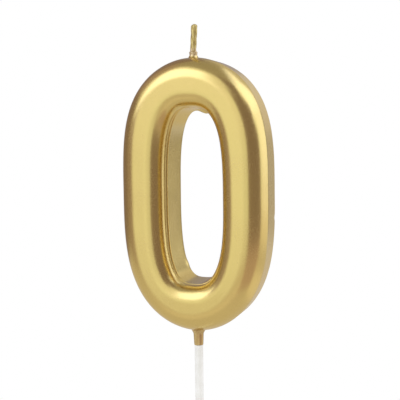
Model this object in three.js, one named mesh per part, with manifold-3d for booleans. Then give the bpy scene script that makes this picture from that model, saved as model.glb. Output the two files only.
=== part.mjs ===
// Number candle: a numeral zero in satin gold wax, with a plaited wick, on a white pick.
// Units are millimetres and +Z is up. The numeral faces -Y and its flat back faces +Y.
// The origin lies on the pick's axis at the foot of the neck collar, where the top of a cake comes.

import * as THREE from "three";
import { mergeVertices } from "three/addons/utils/BufferGeometryUtils.js";
import Module from "manifold-3d";

const wasm = await Module();
wasm.setup();

// Numeral: outline of the outside, where it is widest
const NUMERAL_HEIGHT = 70.4;
const NUMERAL_WIDTH = 40.2;
const NUMERAL_DEPTH = 12;
const OUTLINE_SIDE_POWER = 1.92;
const OUTLINE_CROWN_POWER = 3.5;
const OUTLINE_FOOT_POWER = 3.08;

// Numeral: the limb between the outside and the hole, where both are widest
const SIDE_LIMB = 11.9;
const CROWN_LIMB = 12;
const FOOT_LIMB = 11.7;
const HOLE_SIDE_POWER = 2.75;
const HOLE_END_POWER = 3.05;

// Numeral: the limb's outer edge, a front shoulder that runs on into a flatter flank. Behind the
// flank the wall tapers in towards the back. Turns and tapers are in degrees, turns from the front.
const OUTER_SHOULDER_RADIUS = 4.9;
const OUTER_SHOULDER_TURN = 62;
const FLANK_RADIUS = 8.9;
const FLANK_TURN = 80;
const OUTER_TAPER = 5;

// Numeral: the limb's edge along the hole, a front shoulder, a crease and a rounded ledge. Behind the
// ledge the hole narrows towards the back.
const HOLE_SHOULDER_RADIUS = 4.2;
const LEDGE_RADIUS = 0.75;
const LEDGE_TURN = 10;
const HOLE_TAPER = 6;

// Numeral: the rounding of the back edges, and the least width that the roundings leave flat
const BACK_EDGE_RADIUS = 0.7;
const LEAST_FLAT = 0.5;

// Gold coat, with the root that it forms round the wick
const COAT_THICKNESS = 0.5;
const ROOT_HEIGHT = 1.7;
const ROOT_FOOT_DIAMETER = 2.8;
const ROOT_TOP_DIAMETER = 2.35;

// Wick, whose stub stands a little beside the pick's axis and leans back over it
const WICK_DIAMETER = 1.6;
const STUB_LENGTH = 8.5;
const STUB_OFFSET = -0.4;
const STUB_LEAN = 0.5;
const WICK_TURN_ANGLE = 25;
const WICK_END_ANGLE = 150;
const WICK_ROUTE_LEGS = 10;

// Pick
const PICK_DIAMETER = 2.25;
const PICK_FREE_LENGTH = 50;
const PICK_TIP_DIAMETER = 0.8;
const PICK_TIP_LENGTH = 9;
const PICK_BEHIND_MIDDLE = 0.5;
const SPIGOT_DIAMETER = 1.6;
const WAX_OVER_GRIP = 4;
const BARB_COUNT = 2;
const BARB_DIAMETER = 3;
const BARB_LENGTH = 1.8;
const BARB_PITCH = 2.8;

// Neck collar between the numeral and the pick
const NECK_LENGTH = 4.05;
const NECK_FOOT_DIAMETER = 2.4;
const NECK_TOP_DIAMETER = 2.75;
const FLARE_DIAMETER = 3.9;
const FLARE_HEIGHT = 0.9;

// Gap that separate pieces keep where they meet
const JOINT_GAP = 0.1;

// Fineness of the faces
const OUTLINE_STEPS = 64;
const SHOULDER_STEPS = 4;
const FLANK_STEPS = 2;
const LEDGE_STEPS = 3;
const BACK_EDGE_STEPS = 2;
const ROUND_SIDES = 20;
const WICK_SIDES = 12;
const WICK_STEPS = 48;
const BALL_RINGS = 6;

// Places that follow from the sizes, in the numeral's frame: its origin lies on the pick's axis at the
// numeral's lowest point
const CENTRE_Z = NUMERAL_HEIGHT / 2;
const FRONT_Y = -NUMERAL_DEPTH / 2 - PICK_BEHIND_MIDDLE;
const GRIP_DEPTH = FOOT_LIMB - WAX_OVER_GRIP;

const OUTSIDE = {
  halfWidth: NUMERAL_WIDTH / 2,
  halfHeight: NUMERAL_HEIGHT / 2,
  centreZ: CENTRE_Z,
  sidePower: OUTLINE_SIDE_POWER,
  crownPower: OUTLINE_CROWN_POWER,
  footPower: OUTLINE_FOOT_POWER,
};
const HOLE = {
  halfWidth: NUMERAL_WIDTH / 2 - SIDE_LIMB,
  halfHeight: (NUMERAL_HEIGHT - CROWN_LIMB - FOOT_LIMB) / 2,
  centreZ: CENTRE_Z + (FOOT_LIMB - CROWN_LIMB) / 2,
  sidePower: HOLE_SIDE_POWER,
  crownPower: HOLE_END_POWER,
  footPower: HOLE_END_POWER,
};

// The oval |x/a|^p + |z/b|^q = 1 at one turn, moved outwards along its own normal, with a power q of
// its own above and below the middle. Turn 0 is at +X and a quarter turn is at +Z.
function ovalPoint(oval, turn, outwards) {
  const cosine = Math.cos(turn);
  const sine = Math.sin(turn);
  const endPower = sine > 0 ? oval.crownPower : oval.footPower;
  const across = Math.abs(cosine) ** (2 / oval.sidePower);
  const along = Math.abs(sine) ** (2 / endPower);
  const point = new THREE.Vector2(
    Math.sign(cosine) * oval.halfWidth * across,
    Math.sign(sine) * oval.halfHeight * along + oval.centreZ,
  );
  const normal = new THREE.Vector2(
    (Math.sign(cosine) * oval.sidePower * across ** (oval.sidePower - 1)) / oval.halfWidth,
    (Math.sign(sine) * endPower * along ** (endPower - 1)) / oval.halfHeight,
  ).normalize();
  return point.addScaledVector(normal, outwards);
}

// One of the limb's two edges, with its radii times the share. Its section starts in the front plane and
// turns about three centres, each given by its inset from the edge's oval and its depth.
function limbEdge(form, share) {
  const [shoulder, flank, ledge] = [form.shoulder, form.flank, form.ledge].map((size) => size * share);
  const turned = THREE.MathUtils.degToRad(form.shoulderTurn);
  const flanked = THREE.MathUtils.degToRad(form.flankTurn);
  const ledged = THREE.MathUtils.degToRad(form.ledgeTurn);
  const shoulderInset = shoulder * Math.sin(turned);
  const shoulderDepth = shoulder * (1 - Math.cos(turned));
  const across = shoulderInset + flank * (Math.sin(flanked) - Math.sin(turned));
  const crease = shoulderDepth + flank * (Math.cos(turned) - Math.cos(flanked));
  const wallStart = crease + ledge * Math.cos(ledged);
  const arcs = [
    { radius: shoulder, inset: across, depth: shoulder, from: 0, to: turned, steps: SHOULDER_STEPS },
    {
      radius: flank,
      inset: flank * Math.sin(flanked),
      depth: crease + flank * Math.cos(flanked),
      from: turned,
      to: flanked,
      steps: FLANK_STEPS,
    },
    {
      radius: ledge,
      inset: ledge * Math.sin(ledged),
      depth: wallStart,
      from: ledged,
      to: Math.PI / 2,
      steps: LEDGE_STEPS,
    },
  ];
  const spread = Math.tan(THREE.MathUtils.degToRad(form.taper));
  const wallInset = (depth) => -ledge * (1 - Math.sin(ledged)) - spread * (depth - wallStart);
  return { arcs: arcs.filter(({ radius }) => radius > 0), wallInset, across, wallStart };
}

const OUTER_FORM = {
  shoulder: OUTER_SHOULDER_RADIUS,
  shoulderTurn: OUTER_SHOULDER_TURN,
  flank: FLANK_RADIUS,
  flankTurn: FLANK_TURN,
  ledge: 0,
  ledgeTurn: 90,
  taper: -OUTER_TAPER,
};
const HOLE_FORM = {
  shoulder: HOLE_SHOULDER_RADIUS,
  shoulderTurn: 90,
  flank: 0,
  flankTurn: 90,
  ledge: LEDGE_RADIUS,
  ledgeTurn: LEDGE_TURN,
  taper: HOLE_TAPER,
};

// The share of their radii that both edges keep, so that they fit across the narrowest limb and in its
// depth
function roundingShare() {
  const outer = limbEdge(OUTER_FORM, 1);
  const hole = limbEdge(HOLE_FORM, 1);
  const roomAcross = Math.min(SIDE_LIMB, CROWN_LIMB, FOOT_LIMB) - LEAST_FLAT;
  const roomDeep = NUMERAL_DEPTH - BACK_EDGE_RADIUS - LEAST_FLAT;
  const deepest = Math.max(outer.wallStart, hole.wallStart);
  return Math.min(1, roomAcross / (outer.across + hole.across), roomDeep / deepest);
}

const OUTER_EDGE = limbEdge(OUTER_FORM, roundingShare());
const HOLE_EDGE = limbEdge(HOLE_FORM, roundingShare());

// The steps of depth and inset of one edge, from the flat front to the flat back. depth runs from the
// front plane and inset from the edge's oval into the wax. The steps lie under the real surface by the
// distance below.
function edgeSteps({ arcs, wallInset }, below) {
  const steps = [];
  for (const arc of arcs) {
    const radius = Math.max(arc.radius - below, JOINT_GAP);
    for (let step = 0; step <= arc.steps; step += 1) {
      const turn = THREE.MathUtils.lerp(arc.from, arc.to, step / arc.steps);
      steps.push({
        depth: arc.depth - radius * Math.cos(turn),
        inset: arc.inset - radius * Math.sin(turn),
      });
    }
  }
  const edge = Math.max(BACK_EDGE_RADIUS - below, JOINT_GAP);
  const back = NUMERAL_DEPTH - below;
  for (let step = 0; step <= BACK_EDGE_STEPS; step += 1) {
    const turn = (step / BACK_EDGE_STEPS) * (Math.PI / 2);
    const depth = back - edge * (1 - Math.sin(turn));
    steps.push({ depth, inset: below + edge * (1 - Math.cos(turn)) + wallInset(depth) });
  }
  return steps;
}

// The closed section of the limb, round from the outside to the hole
function limbSection(below) {
  const outside = edgeSteps(OUTER_EDGE, below);
  const hole = edgeSteps(HOLE_EDGE, below);
  return [
    ...outside.map(({ depth, inset }) => ({ oval: OUTSIDE, outwards: -inset, depth })),
    ...hole.reverse().map(({ depth, inset }) => ({ oval: HOLE, outwards: inset, depth })),
  ];
}

// The numeral as one closed ring of wax. below is the distance under the real surface.
function numeralGeometry(below) {
  const section = limbSection(below);
  const positions = [];
  const indices = [];
  const vertexAt = (step, place) =>
    (step % OUTLINE_STEPS) * section.length + (place % section.length);
  for (let step = 0; step < OUTLINE_STEPS; step += 1) {
    const turn = (step / OUTLINE_STEPS) * 2 * Math.PI;
    for (const { oval, outwards, depth } of section) {
      const point = ovalPoint(oval, turn, outwards);
      positions.push(point.x, FRONT_Y + depth, point.y);
    }
    for (let place = 0; place < section.length; place += 1) {
      const here = vertexAt(step, place);
      const deeper = vertexAt(step, place + 1);
      const ahead = vertexAt(step + 1, place);
      const aheadDeeper = vertexAt(step + 1, place + 1);
      indices.push(here, deeper, aheadDeeper, here, aheadDeeper, ahead);
    }
  }
  const geometry = new THREE.BufferGeometry();
  geometry.setAttribute("position", new THREE.Float32BufferAttribute(positions, 3));
  geometry.setIndex(indices);
  return geometry;
}

// A closed geometry as a solid that can be joined and cut
function solidOf(geometry) {
  const bare = geometry.clone();
  bare.deleteAttribute("normal");
  bare.deleteAttribute("uv");
  const merged = mergeVertices(bare);
  const corners = merged.index.array;
  const triangles = [];
  for (let start = 0; start < corners.length; start += 3) {
    const [a, b, c] = corners.slice(start, start + 3);
    if (a !== b && b !== c && c !== a) {
      triangles.push(a, b, c);
    }
  }
  const vertProperties = new Float32Array(merged.attributes.position.array);
  const triVerts = new Uint32Array(triangles);
  return new wasm.Manifold(new wasm.Mesh({ numProp: 3, vertProperties, triVerts }));
}

// A solid as a geometry with flat faces
function geometryOf(solid) {
  const mesh = solid.getMesh();
  const geometry = new THREE.BufferGeometry();
  geometry.setAttribute("position", new THREE.Float32BufferAttribute(mesh.vertProperties, 3));
  geometry.setIndex(Array.from(mesh.triVerts));
  const flat = geometry.toNonIndexed();
  flat.computeVertexNormals();
  return flat;
}

// A turned solid about the Z axis, from pairs of radius and height
function turned(profile) {
  const points = profile.map(([radius, height]) => new THREE.Vector2(radius, height));
  const geometry = new THREE.LatheGeometry(points, ROUND_SIDES);
  geometry.rotateX(Math.PI / 2);
  return solidOf(geometry);
}

// A round rod of constant radius along a curve
function rodAlong(curve, radius) {
  const circle = new THREE.Shape();
  circle.absarc(0, 0, radius, 0, 2 * Math.PI);
  const geometry = new THREE.ExtrudeGeometry(circle, {
    steps: WICK_STEPS,
    curveSegments: WICK_SIDES / 2,
    bevelEnabled: false,
    extrudePath: curve,
  });
  return solidOf(geometry);
}

function ballAt(centre, radius) {
  const geometry = new THREE.SphereGeometry(radius, ROUND_SIDES, BALL_RINGS);
  geometry.translate(centre.x, centre.y, centre.z);
  return solidOf(geometry);
}

// The middle of the limb, between the outside and the hole, at an angle from the top towards -X
function limbMiddle(angle) {
  const turn = Math.PI / 2 + THREE.MathUtils.degToRad(angle);
  const outer = ovalPoint(OUTSIDE, turn, 0);
  const inner = ovalPoint(HOLE, turn, 0);
  const middle = outer.add(inner).multiplyScalar(0.5);
  return new THREE.Vector3(middle.x, 0, middle.y);
}

// The wick's route: from the leaning tip of the stub down through the root, round into the limb on
// the -X side, and on along the middle of that limb
function wickRoute() {
  const points = [
    new THREE.Vector3(STUB_OFFSET + STUB_LEAN, 0, NUMERAL_HEIGHT + STUB_LENGTH - WICK_DIAMETER / 2),
    new THREE.Vector3(STUB_OFFSET + STUB_LEAN / 2, 0, NUMERAL_HEIGHT + STUB_LENGTH / 2),
    new THREE.Vector3(STUB_OFFSET, 0, NUMERAL_HEIGHT),
  ];
  for (let leg = 0; leg <= WICK_ROUTE_LEGS; leg += 1) {
    const share = leg / WICK_ROUTE_LEGS;
    points.push(limbMiddle(THREE.MathUtils.lerp(WICK_TURN_ANGLE, WICK_END_ANGLE, share)));
  }
  return new THREE.CatmullRomCurve3(points, false, "centripetal");
}

// The wick, with a round tip
function wickSolid() {
  const route = wickRoute();
  const radius = WICK_DIAMETER / 2;
  return rodAlong(route, radius).add(ballAt(route.getPoint(0), radius));
}

// The channel that the wick lies in, with room round it and past its hidden end
function wickChannel() {
  const route = wickRoute();
  const radius = WICK_DIAMETER / 2 + JOINT_GAP;
  return rodAlong(route, radius).add(ballAt(route.getPoint(1), radius));
}

// The barbed grip inside the wax, as pairs of radius and height from its lowest barb to its top.
// Each barb widens downwards, so that the wax can't let the pick go.
function gripProfile(foot, clearance) {
  const spigot = SPIGOT_DIAMETER / 2 + clearance;
  const barb = BARB_DIAMETER / 2 + clearance;
  const profile = [];
  for (let count = BARB_COUNT - 1; count >= 0; count -= 1) {
    const top = foot + GRIP_DEPTH - count * BARB_PITCH;
    profile.push([spigot, top - BARB_LENGTH - clearance]);
    profile.push([barb, top - BARB_LENGTH - clearance]);
    profile.push([barb, top - BARB_LENGTH + clearance]);
    profile.push([spigot, top + clearance]);
  }
  return profile;
}

// The pick, measured from its shoulder at the collar's foot
function pickSolid() {
  const radius = PICK_DIAMETER / 2;
  return turned([
    [0, -PICK_FREE_LENGTH],
    [PICK_TIP_DIAMETER / 2, -PICK_FREE_LENGTH],
    [radius, PICK_TIP_LENGTH - PICK_FREE_LENGTH],
    [radius, 0],
    [SPIGOT_DIAMETER / 2, 0],
    ...gripProfile(NECK_LENGTH, 0),
    [0, NECK_LENGTH + GRIP_DEPTH],
  ]);
}

// The socket that the grip fills, open below the numeral
function socketSolid() {
  return turned([
    [0, -NECK_LENGTH],
    [SPIGOT_DIAMETER / 2 + JOINT_GAP, -NECK_LENGTH],
    ...gripProfile(0, JOINT_GAP),
    [0, GRIP_DEPTH + JOINT_GAP],
  ]);
}

// The collar, flared where it meets the numeral and cut to the numeral's round underside
function collarSolid() {
  const bore = SPIGOT_DIAMETER / 2 + JOINT_GAP;
  const foot = JOINT_GAP - NECK_LENGTH;
  const tube = turned([
    [bore, foot],
    [NECK_FOOT_DIAMETER / 2, foot],
    [NECK_TOP_DIAMETER / 2, -FLARE_HEIGHT],
    [FLARE_DIAMETER / 2, 0],
    [FLARE_DIAMETER / 2, FLARE_HEIGHT],
    [bore, FLARE_HEIGHT],
    [bore, foot],
  ]);
  return tube.subtract(solidOf(numeralGeometry(-JOINT_GAP)));
}

// The raised root of the coat round the foot of the wick's stub
function rootSolid() {
  const foot = NUMERAL_HEIGHT - COAT_THICKNESS;
  const top = NUMERAL_HEIGHT + ROOT_HEIGHT;
  return turned([
    [0, foot],
    [ROOT_FOOT_DIAMETER / 2, foot],
    [ROOT_TOP_DIAMETER / 2, top],
    [0, top],
  ]).translate(STUB_OFFSET, 0, 0);
}

function coatSolid() {
  const outside = solidOf(numeralGeometry(0)).add(rootSolid());
  const inside = solidOf(numeralGeometry(COAT_THICKNESS));
  return outside.subtract(inside).subtract(wickChannel()).subtract(socketSolid());
}

function coreSolid() {
  const wax = solidOf(numeralGeometry(COAT_THICKNESS + JOINT_GAP));
  return wax.subtract(wickChannel()).subtract(socketSolid());
}

function goldWax() {
  return new THREE.MeshStandardMaterial({ color: 0xdec87b, roughness: 0.32, metalness: 1 });
}

function paleWax() {
  return new THREE.MeshStandardMaterial({ color: 0xf1e8d2, roughness: 0.55, metalness: 0 });
}

function giltCotton() {
  return new THREE.MeshStandardMaterial({ color: 0xc9ab62, roughness: 0.5, metalness: 0.7 });
}

function whitePlastic() {
  return new THREE.MeshStandardMaterial({ color: 0xf3f2ee, roughness: 0.4, metalness: 0 });
}

function piece(name, solid, material) {
  const mesh = new THREE.Mesh(geometryOf(solid), material);
  mesh.name = name;
  return mesh;
}

// The numeral stands on its neck, over the shoulder of the pick
const numeral = new THREE.Group();
numeral.position.z = NECK_LENGTH;
numeral.add(
  piece("gold_coat", coatSolid(), goldWax()),
  piece("wax_core", coreSolid(), paleWax()),
  piece("wick", wickSolid(), giltCotton()),
  piece("neck_collar", collarSolid(), goldWax()),
);

const candle = new THREE.Group();
candle.add(numeral, piece("pick", pickSolid(), whitePlastic()));

export default candle;
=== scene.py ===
"""A number candle shaped as a nought: gold-coated wax, a plaited wick and a white pick.

Lengths are in metres. +Z runs up the pick and the wick, the rounded front faces -Y, and the
origin is on the pick's axis where the gold neck ends.
"""

import logging
import math
from dataclasses import dataclass
from enum import Enum
from itertools import accumulate
from typing import Callable, Sequence, Union

import bmesh
import bpy
from bpy.types import ID, Material, Mesh, Node, NodeSocket, NodeTree, Object
from mathutils import Matrix, Vector, noise


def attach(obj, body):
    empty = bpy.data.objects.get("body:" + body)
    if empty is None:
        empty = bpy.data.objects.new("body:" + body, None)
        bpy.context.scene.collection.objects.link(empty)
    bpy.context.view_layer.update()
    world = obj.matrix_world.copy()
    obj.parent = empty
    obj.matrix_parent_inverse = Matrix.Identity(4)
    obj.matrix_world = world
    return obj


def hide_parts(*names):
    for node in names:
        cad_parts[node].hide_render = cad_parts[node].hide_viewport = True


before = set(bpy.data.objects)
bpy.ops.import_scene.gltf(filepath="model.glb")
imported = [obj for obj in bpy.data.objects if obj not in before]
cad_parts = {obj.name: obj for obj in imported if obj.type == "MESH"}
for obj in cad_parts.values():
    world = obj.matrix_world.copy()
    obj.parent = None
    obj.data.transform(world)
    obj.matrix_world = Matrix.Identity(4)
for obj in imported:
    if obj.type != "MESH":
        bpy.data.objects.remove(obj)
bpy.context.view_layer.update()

BODY = "root"
MM = 0.001
NUMERAL_FOOT = 4.05 * MM
NUMERAL_HEIGHT = 70.4 * MM
CROWN = NUMERAL_FOOT + NUMERAL_HEIGHT
FILLET_STEPS = 6
STAGE_SIDES = 96
ROW_GAP = 0.001
LOG = logging.getLogger("candle")

Colour = tuple[float, float, float]
Value = Union["Wire", NodeSocket, float, Sequence[float]]


class Slot(Enum):
    """The record's material slots."""

    GOLD_WAX = "gold_wax"
    PALE_WAX = "pale_wax"
    GILT_COTTON = "gilt_cotton"
    WHITE_PLASTIC = "white_plastic"


class Lay(Enum):
    """The hand in which a strand winds round the wick."""

    RIGHT = 1
    LEFT = -1


def operator(operation: str, swapped: bool = False) -> Callable[..., "Wire"]:
    """Makes an operator of wires from a Math node.

    Args:
        operation: The node's operation.
        swapped: Whether the wire is the node's last operand, not its first.

    Returns:
        The operator.
    """

    def apply(self: "Wire", *others: Value) -> "Wire":
        """Returns the node's result."""
        return self.graph.maths(operation, *((*others, self) if swapped else (self, *others)))

    return apply


class Wire:
    """The value of one socket, so that node maths reads as an ordinary expression."""

    def __init__(self, graph: "Graph", socket: NodeSocket) -> None:
        """Keeps the socket and the graph that it belongs to."""
        self.graph = graph
        self.socket = socket

    __add__ = __radd__ = operator("ADD")
    __sub__ = operator("SUBTRACT")
    __rsub__ = operator("SUBTRACT", swapped=True)
    __mul__ = __rmul__ = operator("MULTIPLY")
    __truediv__ = operator("DIVIDE")
    __rtruediv__ = operator("DIVIDE", swapped=True)
    __pow__ = operator("POWER")
    __abs__ = operator("ABSOLUTE")
    cosine = operator("COSINE")
    sine = operator("SINE")
    sign = operator("SIGN")
    root = operator("SQRT")
    above = operator("GREATER_THAN")
    lesser = operator("MINIMUM")
    greater = operator("MAXIMUM")

    def __neg__(self) -> "Wire":
        """-self."""
        return self * -1.0

    def ranged(
        self, start: Value, end: Value, low: Value = 0.0, high: Value = 1.0, easing: str = "LINEAR"
    ) -> "Wire":
        """Maps from the range of start and end to that of low and high, and holds at the ends."""
        inputs = {0: self, 1: start, 2: end, 3: low, 4: high}
        return self.graph.wire("ShaderNodeMapRange", inputs, interpolation_type=easing)

    def bell(self) -> "Wire":
        """Returns a smooth bump of 1 at no distance, which has all but gone at 2."""
        return self.graph.maths("EXPONENT", -(self * self))

    def scaled(self, factor: Value) -> "Wire":
        """Returns a vector times a number."""
        return self.graph.wire("ShaderNodeVectorMath", {0: self, "Scale": factor}, operation="SCALE")

    def length(self) -> "Wire":
        """Returns a vector's length."""
        return self.graph.wire("ShaderNodeVectorMath", {0: self}, "Value", operation="LENGTH")

    def split(self) -> list["Wire"]:
        """Returns a vector's x, y and z."""
        outputs = self.graph.node("ShaderNodeSeparateXYZ", {0: self}).outputs
        return [Wire(self.graph, output) for output in outputs]


class Graph:
    """Adds nodes to one node tree."""

    def __init__(self, tree: NodeTree) -> None:
        """Keeps the tree, emptied."""
        tree.nodes.clear()
        self.tree = tree

    def feed(self, socket: NodeSocket, value: Value) -> None:
        """Links a socket to a value, or sets it.

        Args:
            socket: The input to fill.
            value: A wire, a socket, or a plain number, colour, vector or name.
        """
        if isinstance(value, Wire):
            value = value.socket
        if isinstance(value, NodeSocket):
            self.tree.links.new(value, socket)
        else:
            socket.default_value = value

    def node(self, kind: str, inputs: dict | None = None, **settings: object) -> Node:
        """Adds one node.

        Args:
            kind: The node's type.
            inputs: What its sockets take, by name or number.
            **settings: Its own settings.

        Returns:
            The node.
        """
        made = self.tree.nodes.new(kind)
        for name, value in settings.items():
            setattr(made, name, value)
        for key, value in (inputs or {}).items():
            self.feed(made.inputs[key], value)
        return made

    def wire(self, kind: str, inputs: dict | None = None, out: int | str = 0, **settings: object) -> Wire:
        """Adds one node and returns its output of a name or number."""
        return Wire(self, self.node(kind, inputs, **settings).outputs[out])

    def maths(self, operation: str, *values: Value) -> Wire:
        """Returns the result of a Math node."""
        return self.wire("ShaderNodeMath", dict(enumerate(values)), operation=operation)

    def vectors(self, operation: str, *values: Value) -> Wire:
        """Returns the result of a Vector Math node that makes a vector."""
        return self.wire("ShaderNodeVectorMath", dict(enumerate(values)), operation=operation)

    def noise_at(self, vector: Value, scale: Value, detail: float) -> Wire:
        """Returns soft noise between about 0 and 1."""
        return self.wire("ShaderNodeTexNoise", {"Vector": vector, "Scale": scale, "Detail": detail})

    def joined(self, x: Value, y: Value, z: Value) -> Wire:
        """Returns the vector (x, y, z)."""
        return self.wire("ShaderNodeCombineXYZ", {0: x, 1: y, 2: z})


class SurfaceGraph(Graph):
    """The nodes of a new material."""

    def __init__(self, name: str) -> None:
        """Makes the material.

        Args:
            name: The material's name.
        """
        self.material = bpy.data.materials.new(name)
        self.material.use_nodes = True
        super().__init__(self.material.node_tree)

    @property
    def place(self) -> Wire:
        """The object's own coordinates."""
        return self.wire("ShaderNodeTexCoord", out="Object")

    def finished(self, shader: str, inputs: dict[str | int, Value]) -> Material:
        """Ends the nodes in a shader and returns the material."""
        self.node("ShaderNodeOutputMaterial", {"Surface": self.wire(shader, inputs)})
        return self.material

    def grain(self, size: float, detail: float, offset: float, place: Value | None = None) -> Wire:
        """Returns soft noise between about 0 and 1.

        Args:
            size: How far apart its lumps are.
            detail: How many finer layers it has.
            offset: A shift that makes one noise differ from another.
            place: Where it is read, the object's own coordinates if left out.

        Returns:
            The noise.
        """
        shift = (offset, offset * 0.7, -offset)
        spot = self.vectors("ADD", (place or self.place).scaled(1 / size), shift)
        return self.noise_at(spot, 1.0, detail)

    def specks(self, spacing: float, size: float, share: float) -> Wire:
        """Returns small round specks, 1 at their middles and 0 between them.

        Args:
            spacing: How far apart the places for a speck are.
            size: A speck's radius.
            share: How many of the places have one, from 0 to 1.

        Returns:
            The specks.
        """
        spots = self.place.scaled(1 / spacing)
        cells = self.node("ShaderNodeTexVoronoi", {"Vector": spots, "Scale": 1.0})
        colour, distance = (Wire(self, cells.outputs[name]) for name in ("Color", "Distance"))
        near = distance.ranged(0.0, size / spacing, 1.0, 0.0, "SMOOTHSTEP")
        return near * self.maths("LESS_THAN", colour.split()[0], share)

    def blended(self, factor: Value, first: Value, second: Value) -> Wire:
        """Returns a colour between two, the first at 0 and the second at 1."""
        first, second = ((*end, 1.0) if isinstance(end, tuple) else end for end in (first, second))
        return self.wire("ShaderNodeMix", {0: factor, 6: first, 7: second}, 2, data_type="RGBA")

    def bumped(self, *layers: tuple[Wire, float]) -> Wire:
        """Roughens the surface.

        Args:
            *layers: Each layer's height map, from 0 to 1, and its height.

        Returns:
            The roughened surface's normal.
        """
        below: dict[str, Wire] = {}
        for height, distance in layers:
            inputs = {"Height": height, "Distance": distance, "Strength": 1.0, **below}
            below = {"Normal": self.wire("ShaderNodeBump", inputs)}
        return below["Normal"]


class ShapeGraph(Graph):
    """A Geometry Nodes tree with named inputs for its sizes."""

    def __init__(self, name: str) -> None:
        """Makes an empty tree that takes and gives one geometry.

        Args:
            name: The tree's name.
        """
        super().__init__(bpy.data.node_groups.new(name, "GeometryNodeTree"))
        for way in ("INPUT", "OUTPUT"):
            self.tree.interface.new_socket("Geometry", in_out=way, socket_type="NodeSocketGeometry")
        self._inputs = self.node("NodeGroupInput")
        self._settings: dict[str, object] = {}
        self.start = Wire(self, self._inputs.outputs["Geometry"])
        self.place = self.wire("GeometryNodeInputPosition")

    def size(self, name: str, value: float | int | Sequence[float]) -> Wire:
        """Adds a named input.

        Args:
            name: Its plain name.
            value: A number, a whole number or a vector.

        Returns:
            The input's value inside the tree.
        """
        kinds = {float: "NodeSocketFloat", int: "NodeSocketInt"}
        kind = kinds.get(type(value), "NodeSocketVector")
        socket = self.tree.interface.new_socket(name, in_out="INPUT", socket_type=kind)
        self._settings[socket.identifier] = value
        return Wire(self, self._inputs.outputs[name])

    def sizes(self, name: str, form: object) -> list[Wire]:
        """Adds a named input for each field of a form.

        Args:
            name: What the form is.
            form: A dataclass of numbers, those named a turn in degrees.

        Returns:
            The inputs in the order of the fields, with the turns in radians.
        """
        wires = []
        for field, value in vars(form).items():
            value = math.radians(value) if field.endswith("turn") else value
            wires.append(self.size(f"{name} {field.replace('_', ' ')}", value))
        return wires

    def kept(self, geometry: Wire, name: str, value: Wire) -> Wire:
        """Stores a number under a name on every point of a geometry."""
        inputs = {"Geometry": geometry, "Name": name, "Value": value}
        return self.wire("GeometryNodeStoreNamedAttribute", inputs, data_type="FLOAT")

    def recalled(self, name: str) -> Wire:
        """Returns a stored number."""
        return self.wire("GeometryNodeInputNamedAttribute", {"Name": name}, data_type="FLOAT")

    def moved(self, geometry: Wire, place: Wire) -> Wire:
        """Moves each point of a geometry to its place."""
        return self.wire("GeometryNodeSetPosition", {"Geometry": geometry, "Position": place})

    def swollen(self, geometry: Wire, proud: Wire) -> Wire:
        """Moves each point of a geometry out along its normal."""
        offset = self.wire("GeometryNodeInputNormal").scaled(proud)
        return self.wire("GeometryNodeSetPosition", {"Geometry": geometry, "Offset": offset})

    def welded(self, geometry: Wire, distance: float) -> Wire:
        """Joins the points of a geometry that lie within a distance of each other."""
        return self.wire("GeometryNodeMergeByDistance", {0: geometry, "Distance": distance})

    def grown(
        self, name: str, geometry: Wire, material: Material, start: Mesh | None = None
    ) -> Object:
        """Ends the tree, runs it once and keeps its result as a plain mesh.

        Args:
            name: The new object's name.
            geometry: What the tree makes.
            material: The material of all of it.
            start: The mesh that the tree starts from, if it takes one.

        Returns:
            The object, at the origin and without modifiers.
        """
        smooth = self.wire("GeometryNodeSetShadeSmooth", {"Geometry": geometry})
        real = self.wire("GeometryNodeRealizeInstances", {"Geometry": smooth})
        dressed = self.wire("GeometryNodeSetMaterial", {"Geometry": real, "Material": material})
        self.node("NodeGroupOutput", {"Geometry": dressed})
        host = placed(name, start or bpy.data.meshes.new(f"{name} start"))
        modifier = host.modifiers.new("shape", "NODES")
        modifier.node_group = self.tree
        for identifier, value in self._settings.items():
            modifier[identifier] = value
        graph = bpy.context.evaluated_depsgraph_get()
        mesh = bpy.data.meshes.new_from_object(
            host.evaluated_get(graph), preserve_all_data_layers=True, depsgraph=graph
        )
        mesh.materials.clear()
        mesh.materials.append(material)
        mesh.polygons.foreach_set("material_index", [0] * len(mesh.polygons))
        host.modifiers.remove(modifier)
        spent = host.data
        host.data = mesh
        mesh.name = name
        bpy.data.meshes.remove(spent)
        return host


def placed(name: str, data: ID) -> Object:
    """Adds an object to the scene.

    Args:
        name: Its name.
        data: Its mesh, lamp or camera.

    Returns:
        The object, at the origin.
    """
    made = bpy.data.objects.new(name, data)
    bpy.context.scene.collection.objects.link(made)
    return made


def settled(piece: Object, node: str) -> None:
    """Sets a finished piece on the candle's body in place of its solid.

    Args:
        piece: The finished piece.
        node: The solid that it stands for.
    """
    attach(piece, BODY)
    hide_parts(node)
    spans = [[point.co[axis] / MM for point in piece.data.vertices] for axis in range(3)]
    ends = [end(span) for span in spans for end in (min, max)]
    text = "%s: %d faces, x %.2f to %.2f, y %.2f to %.2f, z %.2f to %.2f mm"
    LOG.info(text, piece.name, len(piece.data.polygons), *ends)


@dataclass(frozen=True)
class Corner:
    """A corner of a turned outline, with the radius of the fillet that rounds it."""

    radius: float
    height: float
    fillet: float = 0.0

    def spot(self) -> Vector:
        """Returns the corner's place in the plane of the outline."""
        return Vector((self.radius, self.height))


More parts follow.
